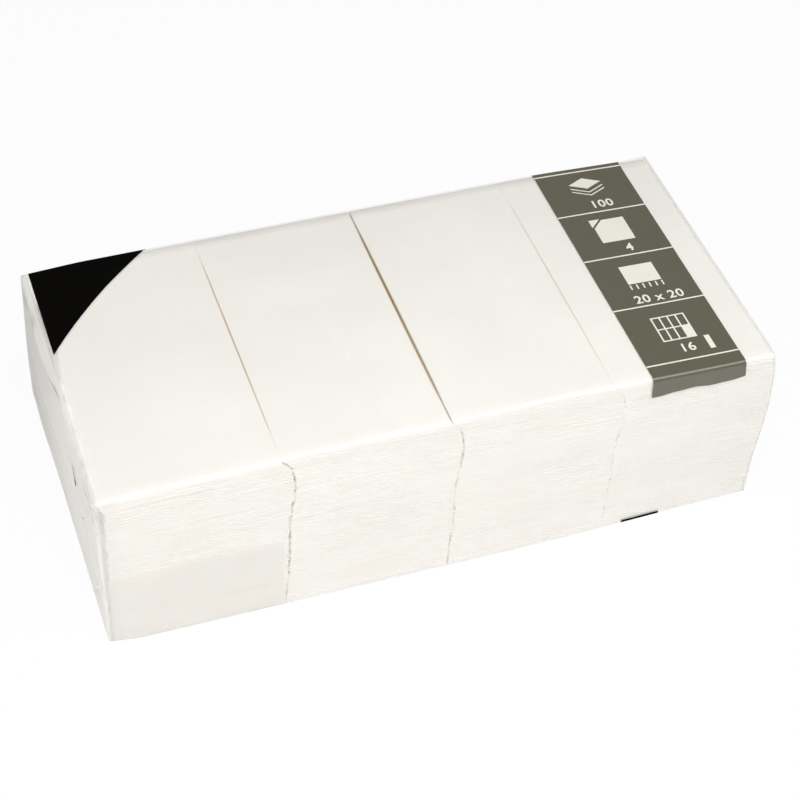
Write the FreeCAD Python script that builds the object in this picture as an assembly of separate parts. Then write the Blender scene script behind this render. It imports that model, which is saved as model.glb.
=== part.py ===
import FreeCAD, Part
import math
import os

# Pack of folded paper napkins: four stacks side by side in one clear film wrapper.
# Origin at the bottom centre. +X runs along the row of stacks, +Y to the back, +Z up.
# The napkins' closed folds face the front (-Y), their open edges the back.
# All sizes are in millimetres.

# Folded napkin
sheet_side = 330.0
panels_across = 4
panels_along = 2
fold_take_up = 1.0
fold_facets = 4

# Stacks
napkins_per_stack = (63, 62, 63, 62)
stack_height = 94.0
stack_gap = 0.4

# Film wrapper
film_wall = 0.15
film_fold_radius = 2.0
film_clearance = 0.2
left_ease = 3.2
right_ease = 0.1

# Welded seams and gusset folds on the film's two ends
seam_layers = 2
seam_height = 9.0
seam_corner_gap = 26.0
gusset_ridge_width = 1.2

# Printed fields
ink_depth = 0.1
band_width = 49.0
band_end_margin = 16.2
band_drop = 13.0
band_wave = 1.2
band_waves = 3
corner_end_margin = 3.4
corner_reach_along = 60.0
corner_reach_down = 62.0
corner_bow = 4.0
edge_mark_lead = 8.7
edge_mark_length = 21.0
edge_mark_height = 1.6
edge_mark_lift = 0.35

# Marks on the band: rules across it, with a simple figure between each two
rule_width = 0.9
front_rule_margin = 8.8
back_rule_margin = 3.0
row_growth = 1.07
figure_width = 18.0
figure_depth = 18.0
figure_rise = 3.0
line_width = 0.8
sheet_spacing = 2.6
turned_corner = 6.0
grid_columns = 4
grid_rows = 2
ruler_depth = 3.4
ruler_ticks = 6

# Sizes worked out from those above
napkin_width = sheet_side / panels_across
napkin_length = sheet_side / panels_along - fold_take_up
stack_count = len(napkins_per_stack)
row_length = stack_count * napkin_width + (stack_count - 1) * stack_gap
left_slack = film_fold_radius - film_wall + left_ease
right_slack = film_fold_radius - film_wall + right_ease
pack_length = row_length + left_slack + right_slack + 2 * film_wall
pack_depth = napkin_length + 2 * (film_clearance + film_wall)
pack_height = stack_height + film_clearance + 2 * film_wall
left_end = -pack_length / 2
right_end = pack_length / 2
front = -pack_depth / 2
back = pack_depth / 2
band_left = right_end - band_end_margin - band_width


def rounded_box(offset):
    """The pack's outer form with rounded edges, moved outwards by offset."""
    size = (pack_length + 2 * offset, pack_depth + 2 * offset, pack_height + 2 * offset)
    corner = FreeCAD.Vector(left_end - offset, front - offset, -offset)
    box = Part.makeBox(*size, corner)
    return box.makeFillet(film_fold_radius + offset, box.Edges)


def prism(points, direction):
    """A closed straight-sided solid on the outline given by points."""
    outline = [FreeCAD.Vector(*point) for point in points]
    outline.append(outline[0])
    return Part.Face(Part.makePolygon(outline)).extrude(FreeCAD.Vector(*direction))


def joined(solids):
    """Solids that are one piece, with the seams between their faces taken out."""
    first, *others = solids
    return first.multiFuse(others).removeSplitter()


def drawn_in(end_radius, low, high):
    """How far the film's rounded edges push in a napkin end between two heights."""
    reach = film_fold_radius - film_wall - film_clearance - end_radius
    over = max(film_fold_radius - low, high - (pack_height - film_fold_radius), 0.0)
    return reach - math.sqrt(max(reach**2 - over**2, 0.0))


def napkin(left, base, thickness):
    """One folded napkin: a round closed fold in front and flat open edges behind."""
    fold_radius = thickness / 2
    middle = base + fold_radius
    tip = front + film_wall + film_clearance + drawn_in(fold_radius, middle, middle)
    tail = back - film_wall - film_clearance - drawn_in(0.0, base, base + thickness)
    profile = [(left, tail, base + thickness), (left, tail, base)]
    for step in range(fold_facets + 1):
        turn = math.pi * step / fold_facets
        across = tip + fold_radius - fold_radius * math.sin(turn)
        profile.append((left, across, middle - fold_radius * math.cos(turn)))
    return prism(profile, (napkin_width, 0, 0))


def napkin_stack(index):
    """All napkins of one stack, each a solid that lies on the one below."""
    count = napkins_per_stack[index]
    thickness = stack_height / count
    left = left_end + film_wall + left_slack + index * (napkin_width + stack_gap)
    layers = [napkin(left, film_wall + layer * thickness, thickness) for layer in range(count)]
    return Part.makeCompound(layers)


def end_folds(side):
    """The welded seam across one end and the four gusset folds that lead to it."""
    wall = side * pack_length / 2
    seam_depth = seam_layers * film_wall
    seam_half = pack_depth / 2 - seam_corner_gap
    middle = pack_height / 2
    low = middle - seam_height / 2
    high = middle + seam_height / 2
    seam = prism(
        [(wall, -seam_half, low), (wall, seam_half, low), (wall, seam_half, high), (wall, -seam_half, high)],
        (side * seam_depth, 0, 0),
    )
    folds = [seam]
    for across in (-1, 1):
        for level, corner in ((low, film_fold_radius), (high, pack_height - film_fold_radius)):
            inner = across * (seam_half - gusset_ridge_width)
            outer = across * (pack_depth / 2 - film_fold_radius)
            inward = math.copysign(gusset_ridge_width, middle - level)
            ridge = [
                (wall, inner, level + inward),
                (wall, outer, corner),
                (wall, outer, corner + inward),
                (wall, inner, level + 2 * inward),
            ]
            folds.append(prism(ridge, (side * film_wall, 0, 0)))
    return folds


def film_wrapper():
    """The clear film: a thin closed wall with its welded ends."""
    wall = rounded_box(0.0).cut(rounded_box(-film_wall))
    return joined([wall] + end_folds(-1) + end_folds(1))


def ink_on_film(region):
    """A layer of ink that follows the film wherever the region covers it."""
    return rounded_box(ink_depth).cut(rounded_box(0.0)).common(region)


def printed_band():
    """The band over stack 4: across the top and down front and back to a wavy edge."""
    right = band_left + band_width
    edge = pack_height - band_drop
    top = pack_height + 2 * ink_depth
    start = FreeCAD.Vector(band_left, front - band_drop, edge)
    curves = []
    step = band_width / band_waves
    for wave in range(band_waves):
        end = start + FreeCAD.Vector(step, 0, 0)
        swing = band_wave if wave % 2 else -band_wave
        crest = start + FreeCAD.Vector(step / 2, 0, swing)
        curves.append(Part.Arc(start, crest, end).toShape())
        start = end
    corners = [
        start,
        FreeCAD.Vector(right, front - band_drop, top),
        FreeCAD.Vector(band_left, front - band_drop, top),
        FreeCAD.Vector(band_left, front - band_drop, edge),
    ]
    sides = [Part.makeLine(a, b) for a, b in zip(corners, corners[1:])]
    outline = Part.Wire(curves + sides)
    region = Part.Face(outline).extrude(FreeCAD.Vector(0, pack_depth + 2 * band_drop, 0))
    return ink_on_film(region)


def printed_corner():
    """The dark field in the back left corner of the top, with one bowed edge."""
    left = left_end + corner_end_margin
    base = pack_height - film_fold_radius
    behind = back + film_fold_radius
    height = film_fold_radius + 2 * ink_depth
    along = FreeCAD.Vector(left + corner_reach_along, back, base)
    down = FreeCAD.Vector(left, back - corner_reach_down, base)
    across = down - along
    outwards = FreeCAD.Vector(-across.y, across.x, 0).normalize()
    middle = (along + down) * 0.5 + outwards * corner_bow
    corners = [
        down,
        FreeCAD.Vector(left, behind, base),
        FreeCAD.Vector(along.x, behind, base),
        along,
    ]
    edges = [Part.Arc(along, middle, down).toShape()]
    edges += [Part.makeLine(a, b) for a, b in zip(corners, corners[1:])]
    return ink_on_film(Part.Face(Part.Wire(edges)).extrude(FreeCAD.Vector(0, 0, height)))


def printed_edge():
    """The end of the underside's print, where it shows on the bottom front fold."""
    start = FreeCAD.Vector(band_left - edge_mark_lead, front - film_fold_radius, edge_mark_lift)
    region = Part.makeBox(edge_mark_length, 2 * film_fold_radius, edge_mark_height, start)
    return ink_on_film(region)


def flat_mark(points, origin):
    """A raised flat shape on the band, from points in the plane of the top."""
    height = pack_height + ink_depth
    outline = [(origin[0] + x, origin[1] + y, height) for x, y in points]
    return prism(outline, (0, 0, ink_depth))


def bar(x, y, width, depth, origin):
    """A straight bar of a mark."""
    return flat_mark([(x, y), (x + width, y), (x + width, y + depth), (x, y + depth)], origin)


def pile_of_sheets(origin):
    """A sheet seen at a slant, with the edges of two more below it."""
    half_width = figure_width / 2
    half_depth = figure_depth / 4
    top = figure_depth - half_depth
    marks = [flat_mark([(-half_width, top), (0, top - half_depth), (half_width, top), (0, top + half_depth)], origin)]
    for sheet in (1, 2):
        level = top - sheet * sheet_spacing
        edge = [(-half_width, level), (0, level - half_depth), (half_width, level)]
        inner = [(x, y - line_width) for x, y in reversed(edge)]
        marks.append(flat_mark(edge + inner, origin))
    return marks


def turned_sheet(origin):
    """A sheet with one corner cut by a fold, and the turned corner beside it."""
    half = figure_width / 2
    sheet = [
        (-half, 0),
        (half, 0),
        (half, figure_depth),
        (-half + turned_corner, figure_depth),
        (-half, figure_depth - turned_corner),
    ]
    corner = [
        (-half - line_width, figure_depth - turned_corner + line_width),
        (-half + turned_corner - line_width, figure_depth + line_width),
        (-half - line_width, figure_depth + line_width),
    ]
    return [flat_mark(sheet, origin), flat_mark(corner, origin)]


def measured_sheet(origin):
    """A sheet above a row of ruler ticks."""
    half = figure_width / 2
    marks = [bar(-half, ruler_depth + line_width, figure_width, figure_depth - ruler_depth - line_width, origin)]
    pitch = (figure_width - line_width) / (ruler_ticks - 1)
    for tick in range(ruler_ticks):
        marks.append(bar(-half + tick * pitch, 0, line_width, ruler_depth, origin))
    return marks


def folded_grid(origin):
    """A sheet's panels as a grid, with one panel filled."""
    half = figure_width / 2
    column = (figure_width - line_width) / grid_columns
    row = (figure_depth - line_width) / grid_rows
    lines = [bar(-half + step * column, 0, line_width, figure_depth, origin) for step in range(grid_columns + 1)]
    lines += [bar(-half, step * row, figure_width, line_width, origin) for step in range(grid_rows + 1)]
    lines.append(bar(half - column - line_width, 0, column + line_width, row + line_width, origin))
    return [joined(lines)]


def band_marks():
    """The rules across the band, with a figure in each row, and each row deeper than the one behind."""
    figures = (folded_grid, measured_sheet, turned_sheet, pile_of_sheets)
    centre = band_left + band_width / 2
    level = front + front_rule_margin
    rows_depth = pack_depth - front_rule_margin - back_rule_margin - rule_width
    back_row = rows_depth / sum(row_growth**row for row in range(len(figures)))
    marks = [bar(0, 0, band_width, rule_width, (band_left, level))]
    for row, figure in enumerate(figures):
        depth = back_row * row_growth ** (len(figures) - 1 - row)
        rise = (depth - figure_depth) / 2 + figure_rise
        marks += figure((centre, level + rise))
        level += depth
        marks.append(bar(0, 0, band_width, rule_width, (band_left, level)))
    return Part.makeCompound(marks)


os.makedirs("parts", exist_ok=True)
film_wrapper().exportStep("parts/film_wrapper.step")
for index in range(stack_count):
    napkin_stack(index).exportStep(f"parts/napkin_stack_{index + 1}.step")
printed_band().exportStep("parts/printed_band.step")
printed_corner().exportStep("parts/printed_corner.step")
printed_edge().exportStep("parts/printed_edge.step")
band_marks().exportStep("parts/band_marks.step")
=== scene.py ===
import math
import random

import bmesh
import bpy
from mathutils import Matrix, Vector, noise


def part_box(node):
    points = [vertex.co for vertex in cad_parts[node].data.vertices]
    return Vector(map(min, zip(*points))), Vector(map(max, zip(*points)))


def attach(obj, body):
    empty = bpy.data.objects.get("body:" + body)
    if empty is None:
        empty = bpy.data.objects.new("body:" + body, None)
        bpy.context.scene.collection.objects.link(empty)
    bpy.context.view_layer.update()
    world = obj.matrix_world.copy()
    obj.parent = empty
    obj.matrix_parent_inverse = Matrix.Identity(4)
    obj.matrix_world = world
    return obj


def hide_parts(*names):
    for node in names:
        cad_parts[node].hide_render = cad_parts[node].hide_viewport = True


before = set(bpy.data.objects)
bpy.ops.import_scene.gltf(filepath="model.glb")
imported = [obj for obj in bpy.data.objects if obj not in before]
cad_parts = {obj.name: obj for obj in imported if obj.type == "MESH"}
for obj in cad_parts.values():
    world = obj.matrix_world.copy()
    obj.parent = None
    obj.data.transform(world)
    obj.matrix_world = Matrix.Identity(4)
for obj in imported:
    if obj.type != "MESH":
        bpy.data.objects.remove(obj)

bl_info = {
    "name": "Napkin Pack",
    "version": (1, 0, 0),
    "blender": (4, 5, 0),
    "location": "3D View > Sidebar > Napkins",
    "description": "A clear film pack with four stacks of folded paper napkins",
    "category": "Object",
}

# Lengths are in metres, apart from the tables that say millimetres
MM = 0.001
STACKS = [name for name in sorted(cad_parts) if name.startswith("napkin_stack_")]
NAPKINS = (63, 62, 63, 62)
# The last two stacks touch more closely than the others
CLOSE_GAP = 2
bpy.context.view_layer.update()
STACK_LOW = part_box(STACKS[0])[0]
STACK_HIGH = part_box(STACKS[-1])[1]
# How far the film stands off the first stack
END_GAP = 5.25 * MM
FILM_LOW = Vector((STACK_LOW.x - END_GAP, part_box("film_wrapper")[0].y, 0.0))
FILM_HIGH = Vector((-FILM_LOW.x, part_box("film_wrapper")[1].y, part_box("film_wrapper")[1].z))
# A second layer of film covers the lower front as far as the first stack's end
DOUBLE_END = -82.5 * MM
DOUBLE_HEIGHT = 43.0 * MM
# The roll of slack film along the top of the left end
ROLL_MIDDLE = 30.0 * MM
ROLL_WIDTH = 28.0 * MM
ROLL_DROP = 12.0 * MM
# Where the napkins' flat sides have corners, as shares of their depth
FLAT = (0.12, 0.5, 0.88)
FINE_FLAT = [0.04 + 0.92 * i / 40 for i in range(41)]
# The closed fold in front: level in the napkin, and set-back as a share of the fold's depth
FOLD = ((-0.5, 0.75), (-0.36, 0.3), (-0.14, 0.06), (0.12, 0.0), (0.34, 0.26), (0.5, 0.75))
# The open leaves behind: level in the napkin, and set-back in millimetres
LEAVES = ((0.5, 0.1), (0.22, 0.0), (0.0, 0.35), (-0.22, 0.05), (-0.5, 0.15))
# Plain numbers and their middles on the band, and the corners of a small bar, in millimetres
NUMERALS = (("100", 131.2, 48.2), ("4", 131.6, 11.2), ("20 x 20", 131.0, -28.6), ("16", 129.6, -67.4))
BAR = ((140.4, -68.6), (143.2, -68.6), (143.2, -59.0), (140.4, -59.0))
# Pinched ridges on the left end, painted white as glints, as depths and heights in millimetres
TUCKS = (
    ((-74.0, 86.5), (-77.0, 89.0), (-80.0, 91.0), (-81.5, 91.5)),
    ((-38.0, 41.0), (-41.0, 44.0), (-44.0, 47.0), (-47.0, 50.0)),
    ((-57.0, 13.5), (-66.0, 21.5), (-74.0, 30.0), (-81.0, 37.5)),
)
# Half the floor's width, and its level just under the pack
FLOOR_HALF = 3.0
FLOOR_LEVEL = -0.3 * MM


def linear(code):
    """An sRGB hex colour as linear red, green, blue and alpha."""
    parts = [int(code[i:i + 2], 16) / 255 for i in (1, 3, 5)]
    return (*[c / 12.92 if c <= 0.04045 else ((c + 0.055) / 1.055) ** 2.4 for c in parts], 1.0)


def length(name, description, default):
    """A length that a user may change, in metres and shown in the scene's unit."""
    return bpy.props.FloatProperty(
        name=name, description=description, default=default, unit="LENGTH", precision=5)


def factor(name, description, default):
    """A share from 0 to 1 that a user may change."""
    return bpy.props.FloatProperty(
        name=name, description=description, default=default, min=0.0, max=1.0, subtype="FACTOR")


def power(name, description, default):
    """A lamp's power that a user may change."""
    return bpy.props.FloatProperty(name=name, description=description, default=default, unit="POWER")


def colour(name, description, code):
    """A colour that a user may change, from its sRGB hex value."""
    return bpy.props.FloatVectorProperty(
        name=name, description=description, default=linear(code), size=4, min=0.0, max=1.0, subtype="COLOR")


class NapkinSettings(bpy.types.PropertyGroup):
    tissue: colour("Tissue", "Colour of the bleached tissue", "#f5f2ed")
    # Painted shade: the golden tone given to the tissue deep in the gaps between stacks, for light bounced
    # among the leaves
    shade: colour("Shade", "Colour of the tissue deep between two stacks", "#b8964c")
    fold_depth: length("Fold depth", "How far each front fold stands out", 0.17 * MM)
    fold_scatter: length("Fold scatter", "How unevenly the folds line up in front", 0.24 * MM)
    side_scatter: length("Side scatter", "How unevenly the napkins line up sideways", 0.34 * MM)
    lean: length("Lean", "How far the stacks lean to the right below their top", 3.8 * MM)
    spread: length("Spread", "How far the stacks' middle layers lie to the right", 2.6 * MM)
    waist: length("Waist", "How far the stacks' sides draw in at mid depth", 0.24 * MM)
    round: length("Rounding", "Radius of the top layers over the front and back", 2.5 * MM)
    sag: length("Layer waves", "Height of the slow waves in the layers", 1.3 * MM)
    reach: length("Reach", "How far the outer stacks spread towards the ends", 2.3 * MM)
    dome: length("Dome", "How far the top stands up along the middle", 2.6 * MM)
    belly: length("Belly", "How far the front stands out low on the left", 3.0 * MM)


class FilmSettings(bpy.types.PropertyGroup):
    fold_radius: length("Fold radius", "Radius of the film over the long edges", 2.4 * MM)
    end_radius: length("End radius", "Radius of the film round the ends", 2.2 * MM)
    crumple: length("Crumple", "Height of the crumples on the ends", 0.26 * MM)
    bulge: length("Bulge", "How far the left end swells at the back", 2.1 * MM)
    ripple: length("Ripple", "Height of the slow ripples on the long faces", 0.16 * MM)
    haze: factor("Haze", "Share of light that one layer of film scatters", 0.05)
    folded_haze: factor("Folded haze", "Share of light that the folded layers on the ends scatter", 0.95)


class PrintSettings(bpy.types.PropertyGroup):
    band: colour("Band ink", "Grey ink of the band", "#595642")
    corner: colour("Corner ink", "Black ink of the corner", "#080706")
    marks: colour("Mark ink", "Pale ink of the marks", "#f1eee2")
    lift: length("Lift", "Height of the ink over the film", 0.06 * MM)


class StageSettings(bpy.types.PropertyGroup):
    camera_place: bpy.props.FloatVectorProperty(
        name="Camera place", description="Where the camera stands", default=(-0.26279, -0.75708, 0.8091),
        subtype="TRANSLATION", unit="LENGTH", size=3)
    camera_turn: bpy.props.FloatVectorProperty(
        name="Camera turn", description="How the camera is turned", size=3, subtype="EULER", unit="ROTATION",
        default=(math.radians(46.046), math.radians(-1.58), math.radians(-18.783)))
    lens: bpy.props.FloatProperty(name="Lens", description="Focal length", default=97.708, unit="CAMERA")
    shift: bpy.props.FloatProperty(name="Shift", description="Sideways shift of the picture", default=-0.03)
    sky: bpy.props.FloatProperty(name="Sky", description="Strength of the even light", default=0.44)
    key: power("Key lamp", "Power of the large lamp", 5.45)
    fill: power("Fill lamp", "Power of the front lamp", 0.82)
    side: power("Side lamp", "Power of the left lamp", 1.03)


def between(low, high, value):
    """0 at low, 1 at high and a smooth step between."""
    t = min(max((value - low) / (high - low), 0.0), 1.0)
    return t * t * (3 - 2 * t)


def hump(value, middle, width):
    """A smooth bump of height 1 about middle."""
    return math.exp(-(((value - middle) / width) ** 2))


def wave(x, y, z, seed):
    """Smooth noise from -1 to 1; seed picks another pattern."""
    return noise.noise(Vector((x + 17.3 * seed, y - 9.1 * seed, z + 5.7 * seed)))


def along_and_up(x, z):
    """How far along the film and how high up it a place is, each from 0 to 1."""
    return (x - FILM_LOW.x) / (FILM_HIGH.x - FILM_LOW.x), z / FILM_HIGH.z


def settled(x, z, grip=1.0):
    """How far the filling has shifted to the right; grip is the share of the lean that is followed."""
    settings = bpy.context.scene.napkins
    along, up = along_and_up(x, z)
    lean = settings.spread * between(0.0, 0.4, up) + settings.lean * hump(up, 0.8, 0.17)
    # Held at the top by the film, and less free towards the left end
    lean *= grip * between(1.0, 0.92, up) * (0.2 + 0.8 * between(0.0, 0.26, along))
    # The right end tapers in towards the floor, and a little at the top
    taper = (-3.9 + 5.9 * between(0.0, 0.68, up) - 1.6 * between(0.86, 1.0, up)) * MM
    last = min(max((along - 0.745) / 0.255, 0.0), 1.0)
    return lean * (1 - last) + taper * last ** 3


def swollen(x, y, z):
    """A place after the pack's slow swelling: domed on top, and fuller low in front."""
    settings = bpy.context.scene.napkins
    along, up = along_and_up(x, z)
    front = min(max(0.5 - y / (FILM_HIGH.y - FILM_LOW.y), 0.0), 1.0)
    domed = between(-0.05, 0.1 + 0.3 * front, along) * between(1.02, 0.75 - 0.1 * front, along)
    fuller = between(1.06, 0.6, along) * between(-0.03, 0.06, along) * between(0.5, 1.0, front)
    return y - settings.belly * fuller * (1 - up), z + settings.dome * domed * up


def outward(x, z):
    """How far the outer stacks' napkins lie towards the ends of the pack, most at the top."""
    left = between(0.6, 0.95, x / STACK_LOW.x) * (1 + 0.6 * between(0.9, 1.0, z / STACK_HIGH.z))
    right = between(0.6, 0.95, x / STACK_HIGH.x) * 0.4
    return bpy.context.scene.napkins.reach * (right - left)


def add_object(name, mesh, material, replaced):
    """A finished piece: linked, dressed, riding on the pack and standing for its CAD nodes."""
    piece = bpy.data.objects.new(name, mesh)
    bpy.context.scene.collection.objects.link(piece)
    mesh.materials.append(material)
    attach(piece, "root")
    if replaced:
        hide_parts(*replaced)
    return piece


def mesh_from(name, vertices, faces):
    """A smooth mesh with its faces turned outwards."""
    mesh = bpy.data.meshes.new(name)
    mesh.from_pydata(vertices, [], faces)
    form = bmesh.new()
    form.from_mesh(mesh)
    bmesh.ops.recalc_face_normals(form, faces=form.faces)
    form.to_mesh(mesh)
    form.free()
    mesh.polygons.foreach_set("use_smooth", [True] * len(mesh.polygons))
    return mesh


def tube_faces(first, ring, rings):
    """Faces of a closed tube whose corners were added ring by ring, with both ends capped."""
    last = first + (rings - 1) * ring
    faces = []
    for start in range(first, last, ring):
        for i in range(ring):
            j = (i + 1) % ring
            faces.append((start + i, start + j, start + ring + j, start + ring + i))
    return faces + [tuple(range(first, first + ring)), tuple(range(last, last + ring))]


def grid_faces(first, columns, rows):
    """Faces of an open grid whose corners were added row by row."""
    corners = [first + row * columns + column for row in range(rows - 1) for column in range(columns - 1)]
    return [(i, i + 1, i + columns + 1, i + columns) for i in corners]


def mark_points(mesh, name, values):
    """A number from 0 to 1 at each corner of a mesh, for its material."""
    mesh.attributes.new(name, "FLOAT", "POINT").data.foreach_set("value", values)


def spread(low, high, fold, step, turns=4):
    """Places from low to high, close together over the folds at both ends."""
    count = max(2, round((high - low - 2 * fold) / step))
    first = [low + fold * i / turns for i in range(turns)]
    inside = [low + fold + (high - low - 2 * fold) * i / count for i in range(count + 1)]
    last = [high - fold * (turns - 1 - i) / turns for i in range(turns)]
    return first + inside + last


def node(tree, kind, settings=None, links=None):
    """A shader node with its settings, and its inputs set or linked by name or number."""
    made = tree.nodes.new(kind)
    for key, value in (settings or {}).items():
        setattr(made, key, value)
    for key, value in (links or {}).items():
        if isinstance(value, bpy.types.NodeSocket):
            tree.links.new(value, made.inputs[key])
        else:
            made.inputs[key].default_value = value
    return made


def new_material(name):
    """An empty node material and its output."""
    material = bpy.data.materials.new(name)
    material.use_nodes = True
    material.node_tree.nodes.clear()
    return material, material.node_tree, material.node_tree.nodes.new("ShaderNodeOutputMaterial")


def tissue_material():
    """Two-ply tissue, creped and lightly embossed: matte, soft and a little uneven in tone."""
    settings = bpy.context.scene.napkins
    material, tree, output = new_material("bleached_tissue_embossed")
    place = node(tree, "ShaderNodeTexCoord").outputs["Object"]
    # Cloudy tone from uneven fibre, about 25 mm across
    cloud = node(tree, "ShaderNodeTexNoise", links={"Vector": place, "Scale": 40.0, "Detail": 2.0})
    light = tuple(settings.tissue)
    dark = (light[0] * 0.965, light[1] * 0.962, light[2] * 0.95, 1.0)
    tone = node(tree, "ShaderNodeMix", {"data_type": "RGBA"}, {0: cloud.outputs[0], 6: dark, 7: light})
    # Painted shade: golden where light only comes off other leaves, deep between two stacks
    deep = node(tree, "ShaderNodeAttribute", {"attribute_name": "shade"})
    tone_with_painted_shade = node(tree, "ShaderNodeMix", {"data_type": "RGBA"}, {
        0: deep.outputs["Fac"], 6: tone.outputs[2], 7: tuple(settings.shade)})
    # Crepe of 0.5 mm and emboss dots of 1.2 mm
    crepe = node(tree, "ShaderNodeTexNoise", links={"Vector": place, "Scale": 2000.0, "Detail": 2.0})
    dots = node(tree, "ShaderNodeTexVoronoi", links={"Vector": place, "Scale": 830.0})
    both = node(tree, "ShaderNodeMath", {"operation": "ADD"}, {
        0: crepe.outputs[0], 1: dots.outputs["Distance"]})
    bump = node(tree, "ShaderNodeBump", links={
        "Strength": 0.03, "Distance": 0.2 * MM, "Height": both.outputs[0]})
    paper = node(tree, "ShaderNodeBsdfPrincipled", links={
        "Base Color": tone_with_painted_shade.outputs[2], "Roughness": 0.92, "Specular IOR Level": 0.25,
        "Normal": bump.outputs[0]})
    tree.links.new(paper.outputs[0], output.inputs[0])
    return material


def film_material():
    """Blown polyethylene film: clear, glossy and a little milky."""
    settings = bpy.context.scene.film
    material, tree, output = new_material("polyethylene_film_clear")
    place = node(tree, "ShaderNodeTexCoord").outputs["Object"]
    # Drawing marks and small dents, about 8 mm apart
    dents = node(tree, "ShaderNodeTexNoise", links={"Vector": place, "Scale": 120.0, "Detail": 1.0})
    bump = node(tree, "ShaderNodeBump", links={
        "Strength": 0.08, "Distance": 0.4 * MM, "Height": dents.outputs[0]})
    clear = node(tree, "ShaderNodeBsdfTransparent", links={"Color": linear("#fdfdfd")})
    # Milky where layers lie on each other, grey with painted shade deep under a fold
    deep = node(tree, "ShaderNodeAttribute", {"attribute_name": "shadow"})
    milky = node(tree, "ShaderNodeMix", {"data_type": "RGBA"}, {
        0: deep.outputs["Fac"], 6: linear("#f9f8f6"), 7: linear("#a2a097")})
    back = node(tree, "ShaderNodeBsdfDiffuse", links={"Color": milky.outputs[2]})
    through = node(tree, "ShaderNodeBsdfTranslucent", links={"Color": milky.outputs[2]})
    milk = node(tree, "ShaderNodeMixShader", links={0: 0.5, 1: back.outputs[0], 2: through.outputs[0]})
    folded = node(tree, "ShaderNodeAttribute", {"attribute_name": "layers"})
    haze = node(tree, "ShaderNodeMath", {"operation": "MULTIPLY_ADD"}, {
        0: folded.outputs["Fac"], 1: settings.folded_haze - settings.haze, 2: settings.haze})
    body = node(tree, "ShaderNodeMixShader", links={
        0: haze.outputs[0], 1: clear.outputs[0], 2: milk.outputs[0]})
    gloss = node(tree, "ShaderNodeBsdfAnisotropic", links={
        "Color": linear("#ffffff"), "Roughness": 0.12, "Normal": bump.outputs[0]})
    # Reflection of both faces of the film, alike from inside and outside
    slant = node(tree, "ShaderNodeLayerWeight", links={"Blend": 0.5, "Normal": bump.outputs[0]})
    steep = node(tree, "ShaderNodeMath", {"operation": "POWER"}, {0: slant.outputs["Facing"], 1: 5.0})
    share = node(tree, "ShaderNodeMath", {"operation": "MULTIPLY_ADD"}, {
        0: steep.outputs[0], 1: 0.9, 2: 0.03})
    # Duller where layers lie crumpled on each other
    dull = node(tree, "ShaderNodeMath", {"operation": "MULTIPLY_ADD"}, {
        0: folded.outputs["Fac"], 1: -0.6, 2: 1.0})
    shine = node(tree, "ShaderNodeMath", {"operation": "MULTIPLY"}, {0: share.outputs[0], 1: dull.outputs[0]})
    mixed = node(tree, "ShaderNodeMixShader", links={
        0: shine.outputs[0], 1: body.outputs[0], 2: gloss.outputs[0]})
    tree.links.new(mixed.outputs[0], output.inputs[0])
    return material


def ink_material(name, tint, roughness, gloss):
    """Gravure ink on glossy film: even colour with faint streaks and the film's own gloss."""
    material, tree, output = new_material(name)
    place = node(tree, "ShaderNodeTexCoord").outputs["Object"]
    # Slow unevenness of the ink, about 12 mm across
    cloud = node(tree, "ShaderNodeTexNoise", links={"Vector": place, "Scale": 80.0, "Detail": 3.0})
    light = tuple(tint)
    dark = (light[0] * 0.9, light[1] * 0.9, light[2] * 0.9, 1.0)
    tone = node(tree, "ShaderNodeMix", {"data_type": "RGBA"}, {0: cloud.outputs[0], 6: dark, 7: light})
    # The film's own dents, about 6 mm across
    dents = node(tree, "ShaderNodeTexNoise", links={"Vector": place, "Scale": 160.0, "Detail": 3.0})
    bump = node(tree, "ShaderNodeBump", links={
        "Strength": 0.2, "Distance": 0.4 * MM, "Height": dents.outputs[0]})
    ink = node(tree, "ShaderNodeBsdfPrincipled", links={
        "Base Color": tone.outputs[2], "Roughness": roughness, "Specular IOR Level": gloss, "IOR": 1.5,
        "Normal": bump.outputs[0]})
    tree.links.new(ink.outputs[0], output.inputs[0])
    return material


def layer_lift(x, z, stack):
    """Slow waves in the layers, shared by neighbours and quiet at the top and the bottom."""
    settings = bpy.context.scene.napkins
    quiet = math.sin(math.pi * min(max(z / STACK_HIGH.z, 0.0), 1.0)) ** 0.5
    slow = wave(x / 0.05, z / 0.02, 0.3, 1 + stack) + 0.25 * wave(x / 0.016, z / 0.008, 0.7, 9 + stack)
    return settings.sag * slow * quiet


def crispness(x, z, stack):
    """How sharp the front folds are at a place: in patches, fading along each fold, flat at the left end."""
    patch = wave(x / 0.04, z / 0.016, 0.9, 51)
    streak = wave(x / 0.024, z / 0.0023, 0.4, 53 + stack)
    return between(-0.3, 0.6, 0.5 * patch + 0.7 * streak) * between(-6.0 * MM, 12.0 * MM, x - STACK_LOW.x)


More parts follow.
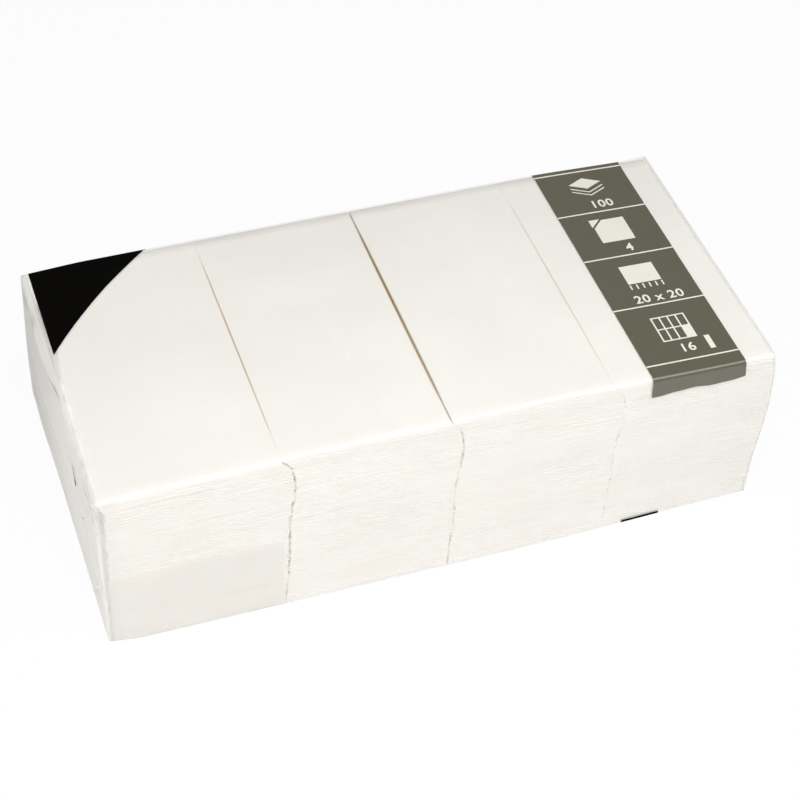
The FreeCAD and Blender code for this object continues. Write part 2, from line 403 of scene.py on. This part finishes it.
class Napkin:
    """One folded napkin of a stack: where it lies, and how it differs from its neighbours."""

    def __init__(self, stack, layer, low, high, chance):
        settings = bpy.context.scene.napkins
        self.stack, self.low, self.high = stack, low, high
        self.depth = high.y - low.y
        self.thick = (high.z - low.z) / NAPKINS[stack]
        self.base = low.z + self.thick * (layer + 0.5)
        self.is_top = layer == NAPKINS[stack] - 1
        self.is_near_top = layer > NAPKINS[stack] - 4
        # Neighbours share a part of their shift, so a stack's side has small steps
        step = 2.0 * wave(0.2, 0.6, self.base / 0.0045, 71 + stack)
        gaps = (stack - 1, stack)
        self.trim = []
        for gap, hand in zip(gaps, (-1, 1)):
            closer = 0.24 * MM if gap == CLOSE_GAP else 0.0
            self.trim.append((chance.uniform(-1, 1) + step * hand) * settings.side_scatter - closer)
        # How much painted golden shade, for light coming out of the gap, shows on each side
        self.golden = [0.3 if gap == CLOSE_GAP else float(0 <= gap < len(STACKS) - 1) for gap in gaps]
        self.out = chance.uniform(0, 1) * settings.fold_scatter
        self.turn = chance.uniform(-0.001, 0.001)
        self.plump = chance.uniform(0.86, 1.0)
        self.back = 0.1 * MM if self.is_top else chance.uniform(0.0, 0.9) * MM
        self.upper = FINE_FLAT if self.is_top else FLAT

    def section(self, x, is_tip):
        """Its outline at one place along the fold: the fold, the upper side, the leaves, the underside."""
        settings = bpy.context.scene.napkins
        low, depth, base = self.low.y, self.depth, self.base
        tip = 0.1 * MM if is_tip else 0.0
        half = 0.5 * self.thick * (0.7 if is_tip else 1.0)
        tall = 2 * half * self.plump
        lift = layer_lift(x, base, self.stack)
        crisp = crispness(x, base, self.stack)
        uneven = 0.15 * MM * (1 + wave(x / 0.03, base / 0.003, 0.1, 3 + self.stack))
        front = low + 0.1 * MM + tip + (self.out + uneven) * (0.3 + 0.8 * crisp)
        # Blunter low down
        pressed = 0.3 + 0.7 * between(0.3, 0.75, base / self.high.z)
        sharp = settings.fold_depth * (0.2 + 1.1 * crisp) * pressed
        tail = self.high.y - self.back - tip
        outline = [(front + reach * sharp, base + lift + level * tall) for level, reach in FOLD]
        outline += [(low + share * depth, base + half) for share in self.upper]
        outline += [(tail - reach * MM, base + 0.4 * lift + level * tall) for level, reach in LEAVES]
        outline += [(low + share * depth, base - half) for share in reversed(FLAT)]
        return outline

    def placed(self, x, y, z, is_upper, is_tip):
        """Where a point of the outline lies in the swollen pack, and how much golden gap shade is painted on
        it.
        """
        settings = bpy.context.scene.napkins
        across = (x - self.low.x) / (self.high.x - self.low.x)
        side = 0 if across < 0.5 else 1
        middle = 1 - ((y - self.low.y) / self.depth * 2 - 1) ** 2
        drawn_in = (settings.waist * (middle - 0.75) + self.trim[side]) * (1 - 2 * across)
        # Rounded over at the top and a little at the bottom
        over = max(0.0, settings.round - (self.high.z - z), 0.4 * settings.round - (z - self.low.z))
        fallen = settings.round - (settings.round ** 2 - min(over, settings.round) ** 2) ** 0.5
        fallen *= between(0.84, 1.0, abs(2 * y / self.depth)) * (1 if y < 0 else -0.3)
        reach = outward(x, z) * (1 - roll_share(y) if x < 0 else 1.0)
        relief = top_relief(x, y) if is_upper else 0.0
        shifted = x + drawn_in + self.turn * y + reach + settled(x, z)
        # Painted gap shade on the napkins' ends: golden in the top layers at mid depth, faint elsewhere
        golden = 0.1 + 0.9 * between(0.25, 0.6, middle) if self.is_near_top else 0.1
        shade = golden * self.golden[side] if is_tip else 0.0
        return (shifted, *swollen(x, y + fallen, z + relief)), shade


def stack_mesh(name):
    """All napkins of one stack: closed folds in front, open leaves behind, no two quite in line."""
    stack = STACKS.index(name)
    low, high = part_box(name)
    chance = random.Random(100 + stack)
    stations = spread(low.x, high.x, 1.4 * MM, 4.5 * MM, 2)
    fine_stations = spread(low.x, high.x, 1.4 * MM, 2.2 * MM, 2)
    vertices = []
    faces = []
    shades = []
    for layer in range(NAPKINS[stack]):
        napkin = Napkin(stack, layer, low, high, chance)
        along = fine_stations if napkin.is_top else stations
        upper = range(len(FOLD), len(FOLD) + len(FINE_FLAT)) if napkin.is_top else ()
        first = len(vertices)
        for index, x in enumerate(along):
            is_tip = index in (0, len(along) - 1)
            outline = napkin.section(x, is_tip)
            for corner, (y, z) in enumerate(outline):
                vertex, shade = napkin.placed(x, y, z, corner in upper, is_tip)
                vertices.append(vertex)
                shades.append(shade)
        faces += tube_faces(first, len(outline), len(along))
    mesh = mesh_from(name + "_layers", vertices, faces)
    mark_points(mesh, "shade", shades)
    return mesh


def roll_share(y):
    """How full the roll of slack film is along the top of the left end."""
    return hump(y, ROLL_MIDDLE, ROLL_WIDTH)


def roll_height(y):
    """The lower side of that roll."""
    return FILM_HIGH.z - ROLL_DROP * roll_share(y)


def end_relief(y, z, side):
    """How far the folded film stands out on an end: the seam, soft panels, creases and a swelling."""
    settings = bpy.context.scene.film
    top = FILM_HIGH.z
    half = top / 2
    # Two gussets meet the seam, with a crease along each of their sloping edges
    reach = max(0.0, abs(y) - (FILM_HIGH.y - half))
    fold = abs(abs(z - half) - (half - reach))
    crease = 0.6 * hump(fold, 0.0, 1.8 * MM) * between(0.0, 8.0 * MM, reach)
    seam_height = half + 2.0 * MM * math.sin(y / 0.03)
    seam = 0.9 * hump(z, seam_height, 2.5 * MM) * between(FILM_HIGH.y - 0.02, FILM_HIGH.y - half, abs(y))
    rough = abs(wave(y / 0.034, z / 0.028, 0.2, 21 + side))
    rough += 0.25 * abs(wave(y / 0.016, z / 0.015, 0.4, 25 + side))
    # Tighter crumples where the folds meet at the top front corner
    if side < 0:
        tight = between(-0.045, -0.07, y) * between(0.05, 0.075, z)
        rough += 2.6 * tight * abs(wave(y / 0.009, z / 0.006, 0.8, 28))
    edge = between(-1.0 * MM, 6.0 * MM, min(FILM_HIGH.y - abs(y), z, top - z))
    folds = (crease + seam + 1.0 - 1.9 * rough) * settings.crumple * edge
    if side > 0:
        return 0.6 * folds
    rise = between(-1.0 * MM, 17.0 * MM, z) * (1 - 0.75 * between(0.035, 0.1, z))
    swelling = settings.bulge * rise * between(-0.03, 0.06, y)
    # The roll of slack film stands out, with a sharp lower side
    sharp_side = between(-0.8 * MM, 0.8 * MM, z - roll_height(y))
    roll = 1.0 * MM * roll_share(y) * sharp_side * between(top, 0.088, z)
    return folds + swelling + roll


def doubled(x, y, z):
    """Where a second layer of film lies over the front of the first stack, up to a wavy line."""
    if y > 0 or x > DOUBLE_END:
        return 0.0
    line = DOUBLE_HEIGHT + 2.0 * MM * math.sin((x + 0.16) / 0.025)
    return between(line + 1.6 * MM, line - 1.0 * MM, z)


def fold_shadow(x, y, z):
    """How much shade is painted into the folded film: more at the back of the left end, most under its roll.
    """
    if x > FILM_LOW.x + 1.0 * MM:
        # In front beside the left end, and where the film lies double, the film is only made a little greyer
        beside = between(-0.08, -0.082, y) * between(16.0 * MM, 3.0 * MM, x - FILM_LOW.x)
        return max(0.18 * beside, 0.13 * doubled(x, y, z))
    # Painted shadow along the lower side of the roll, where the roll hangs low
    low_side = roll_height(y)
    hangs = between(FILM_HIGH.z - 0.5 * MM, FILM_HIGH.z - 4.0 * MM, low_side)
    under = 0.9 * hump(z, low_side - 0.6 * MM, 1.3 * MM) * hangs
    # Two small spots of painted shade below the top, towards the back
    shade_spots = 0.8 * hump(y, 0.052, 0.004) * hump(z, 0.088, 0.004)
    shade_spots += 0.5 * hump(y, 0.072, 0.005) * hump(z, 0.086, 0.003)
    # Painted shade of crinkles towards the top front corner
    tight = between(-0.03, -0.06, y) * between(0.06, 0.08, z)
    crinkle_shade = 0.5 * tight * abs(wave(y / 0.010, z / 0.007, 0.8, 28))
    # Painted shade, darker towards the back of the left end
    back = 0.26 * between(-0.02, 0.08, y) * between(1.0 * MM, -1.0 * MM, z - low_side)
    return min(1.0, back + under + shade_spots + crinkle_shade)


def film_layers(x, y, z):
    """How folded the film is: 1 on the ends, less in front beside them and where it lies double."""
    if x < 0:
        inset = x - FILM_LOW.x
        bumps = 1.6 * MM * wave(y / 0.010, 0.4, 0.7, 67) * between(0.05, 0.0, y) * between(0.088, 0.094, z)
        ends = between(3.2 * MM, 0.8 * MM, inset - bumps)
    else:
        inset = FILM_HIGH.x - x
        ends = between(2.0 * MM, 0.3 * MM, inset)
        # The film lies flatter beside the right end
        inset += 12.0 * MM
    if abs(y) < FILM_HIGH.y - 1.0 * MM:
        # Wide patches on top where the film stands off the paper
        on_top = 0.14 if z > FILM_HIGH.z - 1.0 * MM else 0.0
        return max(ends, on_top * between(-0.1, 0.5, wave(x / 0.055, y / 0.035, 0.3, 65)))
    beside = 0.17 * between(18.0 * MM, 5.0 * MM, inset + 2.0 * MM * wave(0.3, 0.7, z / 0.02, 61))
    # Patches in front that don't cling to the paper
    loose = 0.16 * between(-0.3, 0.6, wave(x / 0.045, 0.5, z / 0.022, 63)) if y < 0 else 0.0
    return max(ends, beside, 0.5 * doubled(x, y, z), loose)


def film_point(x, y, z, lift=0.0):
    """The place on the film over a place on the plain box, raised by lift."""
    settings = bpy.context.scene.film
    low, high = FILM_LOW, FILM_HIGH
    # Taut, sharp corners at the right end and at the back of the left end
    taut = between(0.03, 0.075, y) * between(20.0 * MM, 0.0, x - low.x)
    taut += between(20.0 * MM, 0.0, high.x - x) * between(-0.0824, -0.07, y)
    ends = settings.end_radius * (1 - 0.7 * taut) * (0.5 + 0.5 * between(0.0, 0.02, z))
    # Sharper low down and towards the back
    sharper = (1 - 0.7 * between(0.03, 0.01, z)) * (1 - 0.6 * between(0.0, 0.05, y))
    long_edges = settings.fold_radius * (1 - 0.8 * taut) * sharper
    rolled = roll_share(y) * between(0.5, 0.7, z / high.z) * between(12.0 * MM, 6.0 * MM, x - low.x)
    radii = (ends + 1.8 * MM * rolled, long_edges, long_edges + 7.0 * MM * rolled)
    inner = [min(max(v, low[i] + radii[i]), high[i] - radii[i]) for i, v in enumerate((x, y, z))]
    away = Vector([(v - inner[i]) / radii[i] for i, v in enumerate((x, y, z))])
    away.normalize()
    point = [inner[i] + away[i] * (radii[i] + lift) for i in range(3)]
    # Slow ripples on the long faces, and ribs in front where the film clings to the layers
    flat = settings.ripple * wave(x / 0.045, y / 0.06, z / 0.05, 31)
    ribs = settings.ripple * 0.8 * wave(x / 0.035, z / 0.0035, 0.5, 33)
    point[2] += away.z * max(away.z, 0.0) * (0.4 * flat + top_relief(x, y))
    point[1] += away.y * abs(away.y) * (0.6 * flat + ribs + 0.12 * MM)
    if abs(away.x) > 0.05:
        point[0] += away.x * abs(away.x) * end_relief(y, z, 1 if x > 0 else -1)
    point[0] += settled(x, z, grip=0.0)
    point[1:] = swollen(x, point[1], point[2])
    return point


def top_relief(x, y):
    """Soft dents and wrinkles in the top napkins and the film over them."""
    # One wrinkle in a slow curve over the second stack
    path = -31.0 * MM - 0.09 * (y + 0.04) - 0.35 * max(0.0, y + 0.02) ** 2
    wrinkle = hump(x, path, 2.6 * MM) * between(0.05, -0.03, y) * between(-0.084, -0.06, y)
    dent = hump(x, 62.0 * MM + 0.15 * y, 6.0 * MM) * hump(y, -45.0 * MM, 26.0 * MM)
    slow = 0.25 * MM * (wave(x / 0.05, y / 0.07, 0.6, 41) - 1)
    return -0.9 * MM * (wrinkle + dent) + slow * between(0.0824, 0.07, abs(y))


def film_mesh():
    """The wrapper as one closed thin wall."""
    settings = bpy.context.scene.film
    xs = spread(FILM_LOW.x, FILM_HIGH.x, settings.end_radius, 2.4 * MM)
    ys = spread(FILM_LOW.y, FILM_HIGH.y, settings.fold_radius, 1.5 * MM)
    zs = spread(0.0, FILM_HIGH.z, settings.fold_radius, 1.0 * MM)
    sizes = (xs, ys, zs)
    found = {}
    vertices = []
    faces = []
    layers = []
    shadows = []

    def corner(i, j, k):
        """The number of a corner, which is added when it is first asked for."""
        if (i, j, k) not in found:
            found[i, j, k] = len(vertices)
            vertices.append(film_point(xs[i], ys[j], zs[k]))
            layers.append(film_layers(xs[i], ys[j], zs[k]))
            shadows.append(fold_shadow(xs[i], ys[j], zs[k]))
        return found[i, j, k]

    for axis in range(3):
        across, up = [n for n in range(3) if n != axis]
        for wall in (0, len(sizes[axis]) - 1):
            for a in range(len(sizes[across]) - 1):
                for b in range(len(sizes[up]) - 1):
                    square = []
                    for da, db in ((0, 0), (1, 0), (1, 1), (0, 1)):
                        place = [0, 0, 0]
                        place[axis], place[across], place[up] = wall, a + da, b + db
                        square.append(corner(*place))
                    faces.append(tuple(square))
    mesh = mesh_from("film_wrapper_skin", vertices, faces)
    mark_points(mesh, "layers", layers)
    mark_points(mesh, "shadow", shadows)
    return mesh


class NAPKINS_OT_stacks(bpy.types.Operator):
    """Build the four stacks of folded napkins"""
    bl_idname = "napkins.stacks"
    bl_label = "Napkin stacks"

    def execute(self, context):
        material = tissue_material()
        for name in STACKS:
            add_object(name + "_layers", stack_mesh(name), material, [name])
        return {"FINISHED"}


class NAPKINS_OT_film(bpy.types.Operator):
    """Build the clear film wrapper with its folded ends"""
    bl_idname = "napkins.film"
    bl_label = "Film wrapper"

    def execute(self, context):
        film = add_object("film_wrapper_skin", film_mesh(), film_material(), ["film_wrapper"])
        film.modifiers.new("flat_faces", "WEIGHTED_NORMAL").weight = 80
        # Painted highlight: the film's ridges get an opaque white ink so that they show as glints
        pinched = ink_material("polyethylene_film_ridge_painted_glint", linear("#fdfcf8"), 0.15, 0.5)
        add_object("film_tucks", tucks_mesh(), pinched, [])
        return {"FINISHED"}


def strip_on_film(name, across, rows, drop=None):
    """Ink on the film, from rows of left edge, right edge, depth and height; drop is how far it hangs."""
    lift = bpy.context.scene.printing.lift
    vertices = []
    for left, right, y, z in rows:
        for i in range(across + 1):
            x = left + (right - left) * i / across
            lower = drop(x, y, z) if drop else 0.0
            vertices.append(film_point(x, y, z - lower, lift))
    return mesh_from(name, vertices, grid_faces(0, across + 1, len(rows)))


def band_mesh():
    """The band over the last stack: up the front, over the top and down the back."""
    low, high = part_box("printed_band")
    edge = low.z + 1.2 * MM
    fold = bpy.context.scene.film.fold_radius

    def ragged(x, y, z):
        """How far the torn lower edges hang under an even line."""
        t = (x - low.x if y < 0 else high.x - x) / (high.x - low.x)
        hang = 0.6 * math.sin(t * 9.5 + 0.9) + 0.2 * math.sin(t * 23.0) + 0.6 - 1.1 * t
        return hang * MM * between(FILM_HIGH.z - 3.0 * MM, edge, z)

    heights = spread(edge, FILM_HIGH.z, fold, 1.5 * MM)[4:]
    depths = spread(FILM_LOW.y, FILM_HIGH.y, fold, 2.5 * MM)
    path = [(FILM_LOW.y, z) for z in heights]
    path += [(y, FILM_HIGH.z) for y in depths[1:]]
    path += [(FILM_HIGH.y, z) for z in reversed(heights[:-1])]
    return strip_on_film("band_print", 24, [(low.x, high.x, y, z) for y, z in path], ragged)


def corner_mesh():
    """The dark field in the back left corner of the top, with one bowed edge."""
    low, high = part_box("printed_corner")
    rows = []
    for y in spread(low.y, FILM_HIGH.y, bpy.context.scene.film.fold_radius, 1.5 * MM):
        t = (y - low.y) / (FILM_HIGH.y - low.y)
        right = low.x + (high.x - low.x) * (t - 0.26 * t * (1 - t))
        rows.append((low.x, right, y, FILM_HIGH.z))
    rows.append((low.x, high.x, FILM_HIGH.y, FILM_HIGH.z - 1.0 * MM))
    return strip_on_film("corner_print", 30, rows)


def edge_mesh():
    """The dark end of the underside's print on the bottom front fold."""
    low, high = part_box("printed_edge")
    rows = [(low.x, high.x, FILM_LOW.y, low.z + (high.z - low.z) * i / 6) for i in range(7)]
    return strip_on_film("edge_print", 12, rows)


def end_mark_mesh():
    """A short dark streak, the edge of the print that is folded in at the left end."""
    lift = 6 * bpy.context.scene.printing.lift
    rows = 9
    vertices = []
    for i in range(rows):
        t = i / (rows - 1)
        y, z = (-28.0 - 5.7 * t) * MM, (67.8 - 9.2 * t) * MM
        half = (1.3 + 1.3 * hump(t, 0.82, 0.2)) * between(-0.1, 0.2, t) * between(1.08, 0.9, t) * MM
        for side in (-half, half):
            vertices.append(film_point(FILM_LOW.x, y - 0.76 * side, z + 0.65 * side, lift))
    return mesh_from("end_print", vertices, grid_faces(0, 2, rows))


def mesh_of(form, name):
    """A mesh from an edited form, which is freed."""
    mesh = bpy.data.meshes.new(name)
    form.to_mesh(mesh)
    form.free()
    return mesh


def marks_mesh():
    """The band's rules and figures, from their CAD outlines, laid on the film's own relief."""
    lift = bpy.context.scene.printing.lift + 0.02 * MM
    form = bmesh.new()
    form.from_mesh(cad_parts["band_marks"].data)
    bmesh.ops.triangulate(form, faces=form.faces)
    # Cut finely enough to follow the film
    for _ in range(4):
        long_edges = [e for e in form.edges if e.calc_length() > 4.0 * MM]
        if not long_edges:
            break
        bmesh.ops.subdivide_edges(form, edges=long_edges, cuts=1)
        bmesh.ops.triangulate(form, faces=form.faces)
    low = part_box("band_marks")[0].z
    for vertex in form.verts:
        x, y, z = vertex.co
        vertex.co = film_point(x, y, FILM_HIGH.z, lift + 0.3 * (z - low))
    return mesh_of(form, "mark_print")


def numerals_mesh():
    """Plain numbers under the figures, and a small bar beside the last."""
    lift = bpy.context.scene.printing.lift + 0.05 * MM
    form = bmesh.new()
    for text, x, y in NUMERALS:
        curve = bpy.data.curves.new("numeral", "FONT")
        curve.body = text
        curve.size = 8.0 * MM
        curve.align_x = "CENTER"
        curve.offset = 0.16 * MM
        curve.space_character = 1.08
        letters = bpy.data.objects.new("numeral", curve)
        flat = bpy.data.meshes.new_from_object(letters)
        first = len(form.verts)
        form.from_mesh(flat)
        form.verts.ensure_lookup_table()
        for vertex in form.verts[first:]:
            vertex.co += Vector((x, y, 0.0)) * MM
        bpy.data.objects.remove(letters)
        bpy.data.meshes.remove(flat)
    form.faces.new([form.verts.new((x * MM, y * MM, 0.0)) for x, y in BAR])
    for vertex in form.verts:
        vertex.co = film_point(vertex.co.x, vertex.co.y, FILM_HIGH.z, lift)
    return mesh_of(form, "numeral_print")


def tucks_mesh():
    """Small pinched ridges in the film of the left end: raised in shape, and painted white as glints where
    they catch the light.
    """
    vertices = []
    faces = []
    for path in TUCKS:
        faces += grid_faces(len(vertices), 3, len(path))
        for y, z in path:
            for side, height in ((-0.5, 0.05), (0.0, 0.75), (0.5, 0.05)):
                vertices.append(film_point(FILM_LOW.x, (y + side) * MM, (z + side) * MM, height * MM))
    return mesh_from("film_tucks", vertices, faces)


class NAPKINS_OT_print(bpy.types.Operator):
    """Lay the printed band, corner, edge and marks on the film"""
    bl_idname = "napkins.printing"
    bl_label = "Print"

    def execute(self, context):
        settings = context.scene.printing
        grey = ink_material("gravure_ink_grey", settings.band, 0.24, 1.0)
        black = ink_material("gravure_ink_black", settings.corner, 0.2, 0.02)
        pale = ink_material("gravure_ink_pale", settings.marks, 0.3, 0.1)
        add_object("band_print", band_mesh(), grey, ["printed_band"])
        add_object("corner_print", corner_mesh(), black, ["printed_corner"])
        add_object("edge_print", edge_mesh(), black, ["printed_edge"])
        add_object("end_print", end_mark_mesh(), black, [])
        add_object("mark_print", marks_mesh(), pale, ["band_marks"])
        add_object("numeral_print", numerals_mesh(), pale, [])
        return {"FINISHED"}


def lamp(name, place, aim, width, height, energy):
    """A soft box at place, turned towards aim."""
    data = bpy.data.lights.new(name, "AREA")
    data.shape = "RECTANGLE"
    data.size = width
    data.size_y = height
    data.energy = energy
    made = bpy.data.objects.new(name, data)
    made.location = place
    made.rotation_euler = (Vector(aim) - Vector(place)).to_track_quat("-Z", "Y").to_euler()
    bpy.context.scene.collection.objects.link(made)


def floor_material():
    """Matte white board: seen as white, with the object's soft shadow on it."""
    material, tree, output = new_material("backdrop_board_white")
    board = node(tree, "ShaderNodeBsdfDiffuse", links={"Color": linear("#f4f4f4")})
    white = node(tree, "ShaderNodeEmission", links={"Color": linear("#ffffff"), "Strength": 1.0})
    path = node(tree, "ShaderNodeLightPath")
    share = node(tree, "ShaderNodeMath", {"operation": "MULTIPLY"}, {
        0: path.outputs["Is Camera Ray"], 1: 0.93})
    mixed = node(tree, "ShaderNodeMixShader", links={
        0: share.outputs[0], 1: board.outputs[0], 2: white.outputs[0]})
    tree.links.new(mixed.outputs[0], output.inputs[0])
    return material


def white_world(strength):
    """Even light from all round, seen as plain white behind the object."""
    world = bpy.data.worlds.new("studio")
    world.use_nodes = True
    tree = world.node_tree
    tree.nodes.clear()
    path = node(tree, "ShaderNodeLightPath")
    seen = node(tree, "ShaderNodeMath", {"operation": "MAXIMUM"}, {
        0: path.outputs["Is Camera Ray"], 1: path.outputs["Is Transmission Ray"]})
    level = node(tree, "ShaderNodeMix", links={0: seen.outputs[0], 2: strength, 3: 1.0})
    light = node(tree, "ShaderNodeBackground", links={
        "Color": linear("#ffffff"), "Strength": level.outputs[0]})
    output = tree.nodes.new("ShaderNodeOutputWorld")
    tree.links.new(light.outputs[0], output.inputs[0])
    bpy.context.scene.world = world


class NAPKINS_OT_stage(bpy.types.Operator):
    """Set up the floor, the lamps, the white surroundings and the camera"""
    bl_idname = "napkins.stage"
    bl_label = "Stage"

    def execute(self, context):
        settings = context.scene.stage
        floor_mesh = bpy.data.meshes.new("floor")
        half, level = FLOOR_HALF, FLOOR_LEVEL
        corners = [(-half, -half, level), (half, -half, level), (half, half, level), (-half, half, level)]
        floor_mesh.from_pydata(corners, [], [(0, 1, 2, 3)])
        floor_mesh.materials.append(floor_material())
        floor = bpy.data.objects.new("floor", floor_mesh)
        context.scene.collection.objects.link(floor)
        lamp("key_lamp", (-0.02, -0.42, 0.68), (-0.02, -0.18, 0.09), 1.2, 0.45, settings.key)
        lamp("fill_lamp", (-0.1, -1.6, 0.4), (0.0, 0.0, 0.05), 1.2, 0.8, settings.fill)
        lamp("side_lamp", (-0.7, -0.12, 0.05), (-0.17, -0.02, 0.03), 0.3, 0.15, settings.side)
        white_world(settings.sky)
        data = bpy.data.cameras.new("camera")
        data.sensor_width = 36.0
        data.lens = settings.lens
        data.shift_x = settings.shift
        camera = bpy.data.objects.new("camera", data)
        camera.location = settings.camera_place
        camera.rotation_euler = settings.camera_turn
        context.scene.collection.objects.link(camera)
        context.scene.camera = camera
        context.scene.view_settings.view_transform = "Standard"
        return {"FINISHED"}


class NAPKINS_PT_panel(bpy.types.Panel):
    """Settings and build buttons of the napkin pack"""
    bl_label = "Napkin Pack"
    bl_idname = "NAPKINS_PT_panel"
    bl_space_type = "VIEW_3D"
    bl_region_type = "UI"
    bl_category = "Napkins"

    def draw(self, context):
        for operator in OPERATORS:
            self.layout.operator(operator.bl_idname)
        for name in GROUPS:
            group = getattr(context.scene, name)
            box = self.layout.box()
            box.label(text=name)
            for key in group.bl_rna.properties.keys():
                if key not in ("rna_type", "name"):
                    box.prop(group, key)


OPERATORS = (NAPKINS_OT_stacks, NAPKINS_OT_film, NAPKINS_OT_print, NAPKINS_OT_stage)
GROUPS = {"napkins": NapkinSettings, "film": FilmSettings, "printing": PrintSettings, "stage": StageSettings}


def register():
    for name, group in GROUPS.items():
        bpy.utils.register_class(group)
        setattr(bpy.types.Scene, name, bpy.props.PointerProperty(type=group))
    for kind in (*OPERATORS, NAPKINS_PT_panel):
        bpy.utils.register_class(kind)


def unregister():
    for kind in (NAPKINS_PT_panel, *reversed(OPERATORS)):
        bpy.utils.unregister_class(kind)
    for name, group in GROUPS.items():
        delattr(bpy.types.Scene, name)
        bpy.utils.unregister_class(group)


def main():
    register()
    bpy.ops.napkins.stacks()
    bpy.ops.napkins.film()
    bpy.ops.napkins.printing()
    bpy.ops.napkins.stage()


if __name__ == "__main__":
    main()
